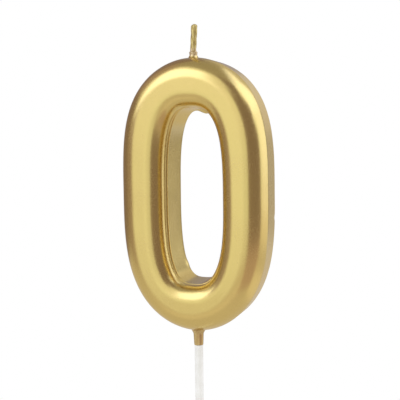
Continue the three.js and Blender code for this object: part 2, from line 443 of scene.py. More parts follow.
def rounded(corners: Sequence[Corner], closed: bool) -> list[tuple[float, float]]:
    """Rounds the corners of a turned outline.

    Args:
        corners: The outline's corners, in order.
        closed: Whether the last corner joins the first.

    Returns:
        The outline's points, each a radius and a height.
    """
    count = len(corners)
    outline: list[tuple[float, float]] = []
    for index, corner in enumerate(corners):
        here = corner.spot()
        at_end = not closed and index in (0, count - 1)
        if at_end or corner.fillet == 0:
            outline.append(tuple(here))
            continue
        back = (corners[index - 1].spot() - here).normalized()
        onward = (corners[(index + 1) % count].spot() - here).normalized()
        half = back.angle(onward) / 2
        reach = corner.fillet / math.tan(half)
        middle = here + (back + onward).normalized() * (corner.fillet / math.sin(half))
        first = here + back * reach - middle
        last = here + onward * reach - middle
        sweep = first.angle_signed(last)
        for step in range(FILLET_STEPS + 1):
            spoke = first.copy()
            spoke.rotate(Matrix.Rotation(-sweep * step / FILLET_STEPS, 2))
            outline.append(tuple(middle + spoke))
    return outline


def noise_round(angle: float, reach: float, level: float) -> float:
    """Returns smooth noise at an angle on a circle, on which it closes."""
    return noise.noise(Vector((math.cos(angle) * reach, math.sin(angle) * reach, level)))


def lathed(
    name: str,
    corners: Sequence[Corner],
    sides: int,
    closed: bool = False,
    worked: Callable[[float, float, float], tuple[float, float]] | None = None,
    longest: float = math.inf,
) -> Mesh:
    """Turns an outline round the Z axis.

    Args:
        name: The mesh's name.
        corners: The outline's corners. One at radius 0 is a pole.
        sides: How many sides the turned form has.
        closed: Whether the last corner joins the first.
        worked: Takes a point's angle, radius and height, and returns the radius and height it really has.
        longest: The longest straight stretch left whole.

    Returns:
        The mesh, with its faces outwards.
    """
    form = bmesh.new()
    rings: list[list[bmesh.types.BMVert]] = []
    for radius, height in spaced(rounded(corners, closed), longest):
        if radius == 0:
            rings.append([form.verts.new((0, 0, height))] * sides)
            continue
        rings.append([])
        for side in range(sides):
            angle = math.tau * side / sides
            out, up = worked(angle, radius, height) if worked else (radius, height)
            rings[-1].append(form.verts.new((out * math.cos(angle), out * math.sin(angle), up)))
    pairs = list(zip(rings, rings[1:])) + ([(rings[-1], rings[0])] if closed else [])
    for lower, upper in pairs:
        for side in range(sides):
            turn = (side + 1) % sides
            loop = (lower[side], lower[turn], upper[turn], upper[side])
            form.faces.new(list(dict.fromkeys(loop)))
    bmesh.ops.recalc_face_normals(form, faces=form.faces)
    for face in form.faces:
        face.smooth = True
    mesh = bpy.data.meshes.new(name)
    form.to_mesh(mesh)
    form.free()
    return mesh


def spaced(outline: list[tuple[float, float]], longest: float) -> list[tuple[float, float]]:
    """Adds points on the long straight stretches of an outline, so that its surface can waver.

    Args:
        outline: The outline's points, each a radius and a height.
        longest: How long a stretch between two of them may be, where neither is a pole.

    Returns:
        The outline with the points.
    """
    points = [outline[0]]
    for before, after in zip(outline, outline[1:]):
        count = max(1, math.ceil(math.dist(before, after) / longest)) if before[0] and after[0] else 1
        for step in range(1, count):
            points.append(tuple(a + (b - a) * (step / count) for a, b in zip(before, after)))
        points.append(after)
    return points


@dataclass(frozen=True)
class GoldPaint:
    """Satin metallic gold on cast wax, with a fine grain, a few specks and dust along its seam."""

    name: str = "gold wax"
    colour: Colour = (0.755, 0.59, 0.21)
    thin: Colour = (0.7, 0.52, 0.2)
    rubbed: Colour = (0.74, 0.6, 0.4)
    speck: Colour = (0.5, 0.38, 0.16)
    roughness: float = 0.26
    grain_size: float = 0.14 * MM
    grain_height: float = 0.0012 * MM
    cloud_size: float = 7 * MM
    drawn: float = 1.0
    wear: float = 0.22
    speck_spacing: float = 1.1 * MM
    speck_size: float = 0.1 * MM
    speck_share: float = 0.05
    speck_height: float = -0.02 * MM
    dust_spacing: float = 0.5 * MM
    dust_share: float = 0.3
    seam_depth: float = -0.5 * MM
    seam_reach: float = 0.45 * MM
    cuff_from: float = CROWN + 0.1 * MM
    cuff_to: float = CROWN + 0.6 * MM

    def material(self) -> Material:
        """Makes the finish.

        Returns:
            The material.
        """
        graph = SurfaceGraph(self.name)
        stretched = graph.vectors("MULTIPLY", graph.place, (1.0, 1.0, 1 / self.drawn))
        clouds = graph.grain(self.cloud_size, 2.0, 0.0, stretched)
        grain = graph.grain(self.grain_size, 3.0, 4.0)
        _, depth, height = graph.place.split()
        cuff = height.ranged(self.cuff_from, self.cuff_to)
        seam = ((depth - self.seam_depth) / self.seam_reach).bell()
        dust = graph.specks(self.dust_spacing, self.speck_size, self.dust_share) * seam
        specks = graph.specks(self.speck_spacing, self.speck_size, self.speck_share) + dust
        worn = (clouds + (grain - 0.5) * 0.5).ranged(0.3, 0.75)
        base = graph.blended(worn * self.wear, self.colour, self.thin)
        speckled = graph.blended(specks * 0.5, base, self.speck)
        rough = self.roughness + (grain - 0.5) * 0.1 + (clouds - 0.5) * 0.05 + cuff * 0.25
        normal = graph.bumped((grain, self.grain_height), (specks, self.speck_height))
        colour = graph.blended(cuff * 0.7, speckled, self.rubbed)
        values = {"Metallic": 1.0, "Base Color": colour, "Roughness": rough, "Normal": normal}
        return graph.finished("ShaderNodeBsdfPrincipled", values)


@dataclass(frozen=True)
class PaleWax:
    """Pale cast wax, matt and slightly clouded."""

    name: str = "pale wax"
    colour: Colour = (0.88, 0.81, 0.64)
    milky: Colour = (0.93, 0.89, 0.78)
    roughness: float = 0.55
    cloud_size: float = 4 * MM
    cloud_height: float = 0.06 * MM
    grain_size: float = 0.3 * MM
    grain_height: float = 0.01 * MM

    def material(self) -> Material:
        """Makes the finish.

        Returns:
            The material.
        """
        graph = SurfaceGraph(self.name)
        clouds = graph.grain(self.cloud_size, 3.0, 2.0)
        grain = graph.grain(self.grain_size, 2.0, 7.0)
        colour = graph.blended(clouds.ranged(0.3, 0.7), self.colour, self.milky)
        rough = self.roughness + (grain - 0.5) * 0.2
        normal = graph.bumped((clouds, self.cloud_height), (grain, self.grain_height))
        values = {"IOR": 1.44, "Base Color": colour, "Roughness": rough, "Normal": normal}
        return graph.finished("ShaderNodeBsdfPrincipled", values)


@dataclass(frozen=True)
class GiltCotton:
    """Plaited cotton stiffened with gold wax, with painted shade darkening its grooves, and rubbed bare
    low on the stub.
    """

    name: str = "gilt cotton"
    colour: Colour = (0.66, 0.53, 0.2)
    # Painted shade: the darker colour laid into the grooves between the strands.
    deep: Colour = (0.42, 0.31, 0.09)
    bare: Colour = (0.72, 0.55, 0.4)
    metal: float = 0.75
    roughness: float = 0.42
    fibre_size: float = 0.09 * MM
    fibre_height: float = 0.012 * MM
    lump_size: float = 0.6 * MM
    lump_height: float = 0.05 * MM
    bare_middle: float = CROWN + 1.4 * MM
    bare_reach: float = 0.9 * MM

    def material(self) -> Material:
        """Makes the finish.

        Returns:
            The material.
        """
        graph = SurfaceGraph(self.name)
        fibres = graph.grain(self.fibre_size, 3.0, 1.0)
        lumps = graph.grain(self.lump_size, 2.0, 5.0)
        groove = graph.wire("ShaderNodeAttribute", out="Fac", attribute_name="groove")
        _, _, height = graph.place.split()
        rubbed = ((height - self.bare_middle) / self.bare_reach).bell() * lumps.ranged(0.4, 0.6)
        # Painted shade: the colour darkens towards the grooves between the strands.
        gilt = graph.blended(groove * 0.9, self.colour, self.deep)
        colour = graph.blended(rubbed * 0.7, gilt, self.bare)
        rough = self.roughness + (fibres - 0.5) * 0.25 + groove * 0.15
        normal = graph.bumped((lumps, self.lump_height), (fibres, self.fibre_height))
        values = {"Metallic": self.metal, "Base Color": colour, "Roughness": rough, "Normal": normal}
        return graph.finished("ShaderNodeBsdfPrincipled", values)


@dataclass(frozen=True)
class WhitePlastic:
    """Moulded white plastic with a soft sheen and fine scuffs along it."""

    name: str = "white plastic"
    colour: Colour = (0.92, 0.91, 0.845)
    shade: Colour = (0.82, 0.81, 0.73)
    roughness: float = 0.36
    cloud_size: float = 3 * MM
    cloud_height: float = 0.03 * MM
    scuff_size: float = 0.25 * MM
    scuff_height: float = 0.008 * MM
    scuff_squash: float = 0.08

    def material(self) -> Material:
        """Makes the finish.

        Returns:
            The material.
        """
        graph = SurfaceGraph(self.name)
        clouds = graph.grain(self.cloud_size, 2.0, 3.0)
        along = graph.vectors("MULTIPLY", graph.place, (1.0, 1.0, self.scuff_squash))
        scuffs = graph.grain(self.scuff_size, 3.0, 6.0, along)
        colour = graph.blended(clouds.ranged(0.35, 0.75), self.colour, self.shade)
        rough = self.roughness + (scuffs - 0.5) * 0.2
        normal = graph.bumped((scuffs, self.scuff_height), (clouds, self.cloud_height))
        values = {"IOR": 1.49, "Base Color": colour, "Roughness": rough, "Normal": normal}
        return graph.finished("ShaderNodeBsdfPrincipled", values)


@dataclass(frozen=True)
class Oval:
    """A rounded outline, |x / half_width| ** side_power + |z / half_height| ** end_power = 1.

    Its centre is a height, and its upper and lower ends have powers of their own.
    """

    half_width: float
    half_height: float
    centre: float
    side_power: float
    crown_power: float
    foot_power: float

    def point(self, turn: float) -> Vector:
        """Finds a point of the outline.

        Args:
            turn: The point's turn from +X towards +Z, in radians.

        Returns:
            The point.
        """
        end_power = self.crown_power if math.sin(turn) > 0 else self.foot_power
        across = abs(math.cos(turn)) ** (2 / self.side_power)
        along = abs(math.sin(turn)) ** (2 / end_power)
        x = math.copysign(across, math.cos(turn)) * self.half_width
        z = math.copysign(along, math.sin(turn)) * self.half_height + self.centre
        return Vector((x, 0, z))


@dataclass(frozen=True)
class Mark:
    """A small swelling, or a dent if its height is negative, that the casting left on the numeral."""

    name: str
    place: tuple[float, float, float]
    spread: tuple[float, float, float]
    height: float


@dataclass(frozen=True)
class Section:
    """One side of the limb's section, from its flat front round to its flat back.

    The shoulder, the flank, the ledge and the back edge are arcs, given by their radii. The shoulder
    and the flank end at their turns, the ledge starts at its turn, and all three are degrees from
    the front. The wall between the ledge and the edge spreads by its slope over each unit of depth.
    """

    shoulder: float
    shoulder_turn: float
    flank: float
    flank_turn: float
    ledge: float
    ledge_turn: float
    slope: float
    back_edge: float = 0.7 * MM


@dataclass(frozen=True)
class SectionRows:
    """How many rows of faces each stretch of one side of the limb's section has."""

    flat: int = 4
    shoulder: int = 18
    flank: int = 10
    ledge: int = 10
    wall: int = 12
    edge: int = 8
    back: int = 2

    def ends(self) -> list[float]:
        """Returns where each stretch ends, as a share of the side's rows."""
        return [end / self.total() for end in accumulate(vars(self).values())]

    def total(self) -> int:
        """Returns the rows of one side."""
        return sum(vars(self).values())


@dataclass(frozen=True)
class Spot:
    """Where a point of the limb's wall is: its turn round the numeral, its place and its depth.

    Its place along a side of the section is 0 in the middle of the front and 1 of the back.
    """

    cosine: Wire
    sine: Wire
    place: Wire
    under: Wire

    def beside(self, graph: ShapeGraph, oval: Sequence[Wire], outwards: Wire, y: Wire) -> Wire:
        """Returns the point beside an oval.

        Args:
            graph: The tree.
            oval: The oval's sizes.
            outwards: How far outside the oval the point is.
            y: The point's own y.

        Returns:
            The point.
        """
        half_width, half_height, centre, side_power, crown_power, foot_power = oval
        left_right, down_up = self.cosine.sign(), self.sine.sign()
        end_power = foot_power + (crown_power - foot_power) * self.sine.above(0.0)
        across = abs(self.cosine) ** (2 / side_power)
        along = abs(self.sine) ** (2 / end_power)
        normal_x = left_right * side_power * across ** (side_power - 1) / half_width
        normal_z = down_up * end_power * along ** (end_power - 1) / half_height
        steep = graph.joined(normal_x, 0.0, normal_z).length()
        x = left_right * half_width * across + normal_x / steep * outwards
        z = centre + down_up * half_height * along + normal_z / steep * outwards
        return graph.joined(x, y, z)


@dataclass(frozen=True)
class GoldCoat:
    """The thin gold coat of the numeral, with the cuff of wax round the wick's foot."""

    outside: Oval = Oval(20.1 * MM, 35.2 * MM, 39.25 * MM, 1.92, 3.5, 3.08)
    hole: Oval = Oval(8.26 * MM, 23.35 * MM, 39.1 * MM, 2.7, 3.08, 3.05)
    front: float = -6.5 * MM
    depth: float = 12 * MM
    outer_section: Section = Section(4.9 * MM, 62, 8.9 * MM, 80, 0.0, 80, -math.tan(math.radians(5)))
    hole_section: Section = Section(4.2 * MM, 70, 4.2 * MM, 90, 0.75 * MM, 10, math.tan(math.radians(6)))
    ledge_fade: float = 0.85
    ledge_fade_power: float = 6.0
    thickness: float = 0.5 * MM
    hole_bow: float = 0.3 * MM
    wave_size: float = 11 * MM
    wave_height: float = 0.06 * MM
    turns: int = 288
    crowding: float = 1.6
    rows: SectionRows = SectionRows()
    weld: float = 0.002 * MM
    marks: tuple[Mark, ...] = (
        Mark("Flash", (0.8 * MM, 5.3 * MM, 61.1 * MM), (2.1 * MM, 0.9 * MM, 1.0 * MM), 1.35 * MM),
        Mark("Edge bead", (-5.0 * MM, 5.1 * MM, 20.5 * MM), (1.0 * MM, 0.7 * MM, 1.1 * MM), 0.15 * MM),
        Mark("Side nick", (19.5 * MM, 4.8 * MM, 33.5 * MM), (1.0 * MM, 0.9 * MM, 0.5 * MM), -0.14 * MM),
    )
    cuff_offset: float = -0.4 * MM
    cuff_height: float = 1.6 * MM
    cuff_foot: float = 1.35 * MM
    cuff_waist: float = 0.96 * MM
    cuff_top: float = 1.1 * MM
    cuff_lumps: float = 0.12 * MM
    cuff_rim: float = 0.3 * MM
    cuff_sides: int = 40
    finish: GoldPaint = GoldPaint()

    def build(self) -> None:
        """Makes the coat and sets it in place of its solid."""
        graph = ShapeGraph("gold coat shape")
        skin = self._walls(graph, "Skin", 0.0, self.hole_bow, 1)
        waved = graph.swollen(skin, self._unevenness(graph))
        x, y, z = graph.place.split()
        back = graph.size("Back plane", self.front + self.depth)
        trimmed = graph.moved(waved, graph.joined(x, y.lesser(back), z))
        lining = self._walls(graph, "Lining", self.thickness, 0.0, 2)
        both = graph.node("GeometryNodeJoinGeometry")
        for part in (trimmed, graph.wire("GeometryNodeFlipFaces", {0: lining})):
            graph.feed(both.inputs[0], part)
        coat = graph.grown("coat", Wire(graph, both.outputs[0]), self.finish.material())
        self._add_cuff(coat)
        settled(coat, "gold_coat")

    def _walls(self, graph: ShapeGraph, name: str, below: float, bow: float, coarseness: int) -> Wire:
        """Makes one closed wall of the limb from its rule.

        Args:
            graph: The tree.
            name: What the wall is.
            below: How far it lies under the surface.
            bow: How far the hole bows towards +X at half its height.
            coarseness: 1 for all rows and turns, 2 for half of them.

        Returns:
            The wall.
        """
        under = graph.size(f"{name} depth under the surface", below)
        turns = graph.size(f"{name} turns", self.turns // coarseness)
        rows = graph.size(f"{name} rows", 2 * self.rows.total() // coarseness)
        grid_inputs = {"Size X": 1.0, "Size Y": 1.0, "Vertices X": turns + 1, "Vertices Y": rows + 1}
        grid = graph.wire("GeometryNodeMeshGrid", grid_inputs)
        u, v, _ = graph.place.split()
        along, section = u + 0.5, v + 0.5
        quarter = graph.maths("PINGPONG", along * 4, 1.0) ** graph.size(f"{name} crowding", self.crowding)
        cosine, sine = (
            graph.maths(wave, quarter * (math.pi / 2)) * graph.maths(wave, along * math.tau).sign()
            for wave in ("COSINE", "SINE")
        )
        spot = Spot(cosine, sine, abs(section * 2 - 1), under)
        outside = self._side(graph, f"{name} outside", self.outside, self.outer_section, spot)
        hole = self._side(graph, f"{name} hole", self.hole, self.hole_section, spot)
        bowed = cosine * cosine * graph.size(f"{name} hole bow", bow)
        hole = graph.vectors("ADD", hole, graph.joined(bowed, 0.0, 0.0))
        flat_end, *_, edge_end, _ = self.rows.ends()
        front = spot.place.ranged(0.0, flat_end, 1.0, 0.0)
        middle = front + spot.place.ranged(edge_end, 1.0, 0.0, 1.0)
        in_hole = section.above(0.5)
        share = in_hole + (0.5 - in_hole) * middle
        point = graph.wire("ShaderNodeMix", {0: share, 4: outside, 5: hole}, 1, data_type="VECTOR")
        return graph.welded(graph.moved(grid, point), self.weld)

    def _side(self, graph: ShapeGraph, name: str, oval: Oval, section: Section, spot: Spot) -> Wire:
        """Makes the limb's outer or inner side.

        Args:
            graph: The tree.
            name: What the side is.
            oval: Its outline where it is widest.
            section: Its section.
            spot: Where a point is.

        Returns:
            The point.
        """
        outline = graph.sizes(name, oval)
        shoulder, turned, flank, flanked, side_ledge, ledged, slope, edge = graph.sizes(name, section)
        front = graph.size(f"{name} front", self.front)
        thick = graph.size(f"{name} depth", self.depth)
        flat_end, shoulder_end, flank_end, ledge_end, wall_end, edge_end, _ = self.rows.ends()
        outwards = -1.0 if oval is self.outside else 1.0
        place = spot.place
        ledge = side_ledge * (1 - self.ledge_fade * spot.sine**self.ledge_fade_power)
        bend = place.ranged(flat_end, shoulder_end, 0.0, turned)
        lean = place.ranged(shoulder_end, flank_end, turned, flanked)
        roll = place.ranged(flank_end, ledge_end, ledged, math.pi / 2)
        down = place.ranged(ledge_end, wall_end)
        curl = place.ranged(wall_end, edge_end, 0.0, math.pi / 2)
        wall_from = shoulder * (1 - turned.cosine()) + flank * (turned.cosine() - flanked.cosine())
        wall = down * (thick - edge - wall_from - ledge * ledged.cosine())
        deep = shoulder * (1 - bend.cosine()) + flank * (turned.cosine() - lean.cosine())
        deep = deep + ledge * (ledged.cosine() - roll.cosine()) + wall + edge * curl.sine()
        inset = shoulder * (turned.sine() - bend.sine()) + flank * (flanked.sine() - lean.sine())
        inset = inset - ledge * (roll.sine() - ledged.sine()) - slope * wall
        inset = inset + edge * (1 - curl.cosine()) - (side_ledge - ledge) * (1 - ledged.sine())
        ahead = bend + lean - turned
        facing = ahead + (roll + curl - ahead) * place.above(flank_end + ROW_GAP)
        inset = inset + spot.under * facing.sine()
        deep = deep + spot.under * facing.cosine()
        return spot.beside(graph, outline, inset * outwards, front + deep)

    def _unevenness(self, graph: ShapeGraph) -> Wire:
        """Returns how far each point of the skin stands out of the plain form.

        Args:
            graph: The tree.

        Returns:
            The height of the waves and marks together.
        """
        waves = graph.noise_at(graph.place, 1 / graph.size("Wave size", self.wave_size), 1.0)
        proud = -(waves.ranged(0.2, 0.8) * graph.size("Wave height", self.wave_height))
        for mark in self.marks:
            middle = graph.size(f"{mark.name} place", mark.place)
            spread = graph.size(f"{mark.name} spread", mark.spread)
            off = graph.vectors("DIVIDE", graph.vectors("SUBTRACT", graph.place, middle), spread)
            proud = proud + off.length().bell() * graph.size(f"{mark.name} height", mark.height)
        return proud

    def _add_cuff(self, coat: Object) -> None:
        """Adds the uneven cuff that the coat draws up round the wick.

        Args:
            coat: The coat.
        """
        corners = (
            Corner(0, CROWN - 0.9 * MM),
            Corner(self.cuff_foot + 0.5 * MM, CROWN - 0.35 * MM, 0.1 * MM),
            Corner(self.cuff_foot, CROWN - 0.1 * MM, 0.5 * MM),
            Corner(self.cuff_waist, CROWN + 0.55 * MM, 0.6 * MM),
            Corner(self.cuff_top, CROWN + self.cuff_height - 0.25 * MM, 0.2 * MM),
            Corner(0.7 * MM, CROWN + self.cuff_height, 0.1 * MM),
            Corner(0, CROWN + self.cuff_height - 0.5 * MM),
        )
        cuff = lathed("cuff", corners, self.cuff_sides, worked=self._lumpy)
        cuff.transform(Matrix.Translation((self.cuff_offset, 0, 0)))
        form = bmesh.new()
        form.from_mesh(coat.data)
        form.from_mesh(cuff)
        form.to_mesh(coat.data)
        form.free()
        bpy.data.meshes.remove(cuff)

    def _lumpy(self, angle: float, radius: float, height: float) -> tuple[float, float]:
        """Roughens the cuff, most of all at its rim.

        Args:
            angle: The point's angle round the axis.
            radius: Its radius before.
            height: Its height before.

        Returns:
            Its radius and height after.
        """
        rise = max(0.0, (height - CROWN) / self.cuff_height)
        lump = noise_round(angle, 1.6, height / (0.9 * MM))
        rim = noise_round(angle, 1.2, 7.0)
        return radius + self.cuff_lumps * lump * rise, height + self.cuff_rim * rim * rise**2


@dataclass(frozen=True)
class Wick:
    """The plaited wick: a stub above the crown and the run that is cast into the wax."""

    thickness: float = 1.7 * MM
    stub: float = 8.5 * MM
    offset: float = -0.52 * MM
    lean: float = 0.5 * MM
    start_angle: float = 25.0
    end_angle: float = 150.0
    legs: int = 10
    strands: int = 3
    pitch: float = 7.8 * MM
    groove: float = 0.13 * MM
    groove_power: float = 0.55
    lump_size: float = 1.1 * MM
    lump_height: float = 0.07 * MM
    rings: int = 560
    sides: int = 30
    weld: float = 0.004 * MM
    lay: Lay = Lay.RIGHT
    outside: Oval = GoldCoat.outside
    hole: Oval = GoldCoat.hole
    finish: GiltCotton = GiltCotton()

    def build(self) -> None:
        """Makes the wick and sets it in place of its solid."""
        graph = ShapeGraph("wick shape")
        line = graph.wire("GeometryNodeMeshToCurve", {0: graph.start})
        smooth = graph.wire("GeometryNodeCurveSplineType", {0: line}, spline_type="CATMULL_ROM")
        rings = graph.size("Rings", self.rings)
        even = graph.wire("GeometryNodeResampleCurve", {"Curve": smooth, "Count": rings})
        along = graph.wire("GeometryNodeSplineParameter", out="Length")
        whole = graph.wire("GeometryNodeSplineLength", out="Length")
        half = graph.size("Thickness", self.thickness) / 2
        to_end = along.lesser(whole - along)
        nose = 1 - to_end.ranged(0.0, half * 0.9)
        taper = (1 - nose * nose).greater(0.0).root()
        tapered = graph.wire("GeometryNodeSetCurveRadius", {"Curve": even, "Radius": taper})
        path = graph.kept(tapered, "along", along)
        size = {"Resolution": self.sides, "Radius": half}
        ring = graph.wire("GeometryNodeCurvePrimitiveCircle", size, "Curve")
        ring = graph.kept(ring, "around", graph.wire("GeometryNodeSplineParameter") * math.tau)
        sweep = {"Curve": path, "Profile Curve": ring, "Scale": taper}
        tube = graph.welded(graph.wire("GeometryNodeCurveToMesh", sweep), self.weld)
        # The groove nearness is kept for the material as well, which paints shade into the grooves with
        # it.
        plaited = graph.swollen(graph.kept(tube, "groove", self._grooves(graph)), self._relief(graph))
        wick = graph.grown("wick_plait", plaited, self.finish.material(), self._route())
        settled(wick, "wick")

    def _grooves(self, graph: ShapeGraph) -> Wire:
        """Returns how near each point is to a groove between two strands.

        Args:
            graph: The tree.

        Returns:
            The nearness, 1 in the groove.
        """
        strands = graph.size("Strands", float(self.strands))
        pitch = graph.size("Pitch", self.pitch)
        turn = graph.recalled("around") + graph.recalled("along") * (self.lay.value * math.tau) / pitch
        return 1 - abs((turn * strands / 2).sine()) ** self.groove_power

    def _relief(self, graph: ShapeGraph) -> Wire:
        """Returns how far each point stands out of the plain tube, never above it.

        Args:
            graph: The tree.

        Returns:
            The depth of the grooves and of the uneven wax together.
        """
        lumps = graph.noise_at(graph.place, 1 / graph.size("Lump size", self.lump_size), 1.0)
        cut = graph.recalled("groove") * graph.size("Groove depth", self.groove)
        return -(cut + lumps.ranged(0.25, 0.75) * graph.size("Lump height", self.lump_height))

    def _route(self) -> Mesh:
        """Lays the wick's centre line, from its tip down into the limb.

        Returns:
            The line's points, joined by edges.
        """
        points = [
            Vector((self.offset + self.lean, 0, CROWN + self.stub - 0.02 * MM)),
            Vector((self.offset + self.lean * 0.45, 0, CROWN + self.stub / 2)),
            Vector((self.offset, 0, CROWN)),
            Vector((self.offset - 0.1 * MM, 0, CROWN - 1.6 * MM)),
            Vector((self.offset - 0.7 * MM, 0, CROWN - 3.6 * MM)),
        ]
        for leg in range(self.legs + 1):
            angle = self.start_angle + (self.end_angle - self.start_angle) * leg / self.legs
            turn = math.radians(90 + angle)
            points.append((self.outside.point(turn) + self.hole.point(turn)) / 2)
        mesh = bpy.data.meshes.new("wick route")
        mesh.from_pydata(points, [(index, index + 1) for index in range(len(points) - 1)], [])
        return mesh


@dataclass(frozen=True)
class NeckCollar:
    """The short gold neck where the coat ran down over the pick's top."""

    foot_height: float = 0.04 * MM
    foot: float = 1.2 * MM
    top: float = 1.375 * MM
    top_height: float = NUMERAL_FOOT - 0.9 * MM
    flare: float = 1.95 * MM
    flare_height: float = NUMERAL_FOOT + 0.14 * MM
    bore: float = 0.86 * MM
    bore_fillet: float = 0.05 * MM
    runs: float = 0.07 * MM
    sag: float = 0.06 * MM
    sag_reach: float = 0.5 * MM
    sides: int = 48
    # Painted reflection: dark brown streaks, nine times longer than wide and blended in at full strength,
    # stand in for the dark and light stripes that a gold cylinder reflects.
    finish: GoldPaint = GoldPaint(
        name="gold wax neck",
        colour=(0.78, 0.62, 0.27),
        thin=(0.46, 0.3, 0.13),
        roughness=0.3,
        cloud_size=0.7 * MM,
        drawn=9.0,
        wear=1.0,
    )

    def build(self) -> None:
        """Makes the collar and sets it in place of its solid."""
        corners = (
            Corner(self.bore, self.foot_height, self.bore_fillet),
            Corner(self.foot, self.foot_height, 0.08 * MM),
            Corner(self.top, self.top_height, 1.2 * MM),
            Corner(self.flare, self.flare_height, 0.03 * MM),
            Corner(self.bore, self.flare_height, self.bore_fillet),
        )
        neck = placed("neck", lathed("neck", corners, self.sides, True, self._drawn))
        neck.data.materials.append(self.finish.material())
        settled(neck, "neck_collar")

    def _drawn(self, angle: float, radius: float, height: float) -> tuple[float, float]:
        """Draws the wax into shallow runs down the pick.

        Args:
            angle: The point's angle round the axis.
            radius: Its radius before.
            height: Its height before.

        Returns:
            Its radius and height after.
        """
        if radius < self.bore * 1.05:
            return radius, height
        runs = noise_round(angle, 2.2, height / (5 * MM))
        sag = noise_round(angle, 1.0, 3.0) * max(0.0, 1 - height / self.sag_reach)
        return radius - self.runs * abs(runs), height + self.sag * max(sag, -0.5)


@dataclass(frozen=True)
class Pick:
    """The white pick, with the barbed spigot that holds it in the wax."""

    radius: float = 1.125 * MM
    length: float = 50 * MM
    tip_radius: float = 0.4 * MM
    tip_length: float = 9 * MM
    shank_top: float = -0.01 * MM
    spigot: float = 0.8 * MM
    spigot_length: float = 11.75 * MM
    spigot_fillet: float = 0.05 * MM
    barb: float = 1.5 * MM
    barb_length: float = 1.8 * MM
    barb_pitch: float = 2.8 * MM
    barb_end: float = 0.9 * MM
    barbs: int = 2
    mould_line: float = 0.035 * MM
    mould_angle: float = 0.5
    mould_width: float = 0.07
    flattening: float = -0.03 * MM
    waver: float = 0.015 * MM
    sides: int = 64
    finish: WhitePlastic = WhitePlastic()

    def build(self) -> None:
        """Makes the pick and sets it in place of its solid."""
        corners = [
            Corner(0, -self.length),
            Corner(self.tip_radius, -self.length, 0.3 * MM),
            Corner(self.radius, -self.length + self.tip_length, 6 * MM),
            Corner(self.radius, self.shank_top, 0.08 * MM),
            Corner(self.spigot, self.shank_top, self.spigot_fillet),
        ]
        for index in reversed(range(self.barbs)):
            foot = self.spigot_length - self.barb_end - self.barb_length - index * self.barb_pitch
            corners.append(Corner(self.spigot, foot, self.spigot_fillet))
            corners.append(Corner(self.barb, foot, 0.1 * MM))
            corners.append(Corner(self.spigot, foot + self.barb_length, self.spigot_fillet))
        corners.append(Corner(self.spigot, self.spigot_length, 0.2 * MM))
        corners.append(Corner(0, self.spigot_length))
        shank = lathed("pick_shank", corners, self.sides, worked=self._moulded, longest=MM)
        pick = placed("pick_shank", shank)
        pick.data.materials.append(self.finish.material())
        settled(pick, "pick")

    def _moulded(self, angle: float, radius: float, height: float) -> tuple[float, float]:
        """Adds the two mould lines down the shank and its slight waver.

        Args:
            angle: The point's angle round the axis.
            radius: Its radius before.
            height: Its height before.

        Returns:
            Its radius and height after.
        """
        if height > 0:
            return radius, height
        turn = angle - self.mould_angle
        line = math.exp(-((math.cos(turn) / self.mould_width) ** 2)) * self.mould_line
        flat = self.flattening * (0.5 + 0.5 * math.cos(2 * turn))
        waver = self.waver * noise_round(angle, 1.0, height / (6 * MM))
        return radius + line + flat + waver, height


@dataclass(frozen=True)
class WaxCore:
    """The cast wax inside the coat, which keeps its solid."""

    finish: PaleWax = PaleWax()

    def dress(self) -> None:
        """Gives the solid its finish."""
        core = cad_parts["wax_core"]
        material = self.finish.material()
        for slot in core.material_slots:
            slot.material = material
        LOG.info("%s: %d faces, pale wax", core.name, len(core.data.polygons))


AIM = Vector((0, -0.5 * MM, 39.15 * MM))
COOL: Colour = (0.91, 1.0, 1.5)
WARM: Colour = (1.3, 1.0, 1.05)
DULL: Colour = (1.08, 1.0, 0.96)
WHITE = (1.0, 1.0, 1.0, 1.0)


def bearing(azimuth: float, elevation: float) -> Vector:
    """Returns the direction at degrees from the front, positive towards +X, and above the horizon."""
    across, up = math.radians(azimuth), math.radians(elevation)
    return Vector((math.sin(across) * math.cos(up), -math.cos(across) * math.cos(up), math.sin(up)))


@dataclass(frozen=True)
class StudioPanel:
    """A flat panel of the studio that faces the candle, where a brightness of 1 is white.

    Its azimuth is degrees from the front, positive towards +X, and its elevation is degrees above
    the horizon. Its width and height are the degrees that it covers as seen from the candle.
    """

    name: str
    azimuth: float
    elevation: float
    width: float
    height: float
    brightness: float
    tint: Colour
    distance: float = 0.6

    def sizes(self) -> list[float]:
        """Returns the panel's width and height in metres."""
        spans = (self.width, self.height)
        return [2 * self.distance * math.tan(math.radians(span / 2)) for span in spans]

    def pose(self) -> Matrix:
        """Finds where the panel stands, with its -Z towards the candle.

        Returns:
            The panel's place and turn.
        """
        away = bearing(self.azimuth, self.elevation)
        facing = away.to_track_quat("Z", "Y").to_matrix().to_4x4()
        return Matrix.Translation(AIM + away * self.distance) @ facing


@dataclass(frozen=True)
class Softbox(StudioPanel):
    """A panel that gives light."""

    def build(self) -> None:
        """Adds the lamp, which the camera doesn't see."""
        light = bpy.data.lights.new(self.name, "AREA")
        light.shape = "RECTANGLE"
        light.size, light.size_y = self.sizes()
        light.energy = self.brightness * math.pi * light.size * light.size_y
        light.color = self.tint
        lamp = placed(self.name, light)
        lamp.matrix_world = self.pose()
        lamp.visible_camera = False


@dataclass(frozen=True)
class Card(StudioPanel):
    """A panel that is seen in gloss alone, bright or dark."""

    def build(self) -> None:
        """Adds the card."""
        width, height = (size / 2 for size in self.sizes())
        corners = [(-width, -height, 0), (width, -height, 0), (width, height, 0), (-width, height, 0)]
        mesh = bpy.data.meshes.new(self.name)
        mesh.from_pydata(corners, [], [(0, 1, 2, 3)])
        mesh.materials.append(glow(self.name, self.brightness, self.tint))
        card = placed(self.name, mesh)
        card.matrix_world = self.pose()
        hide_card(card)


def hide_card(card: Object) -> None:
    """Leaves a card to be seen in gloss alone, so that it neither blocks nor gives other light.

    Args:
        card: The card.
    """
    card.visible_camera = False
    card.visible_diffuse = False
    card.visible_shadow = False


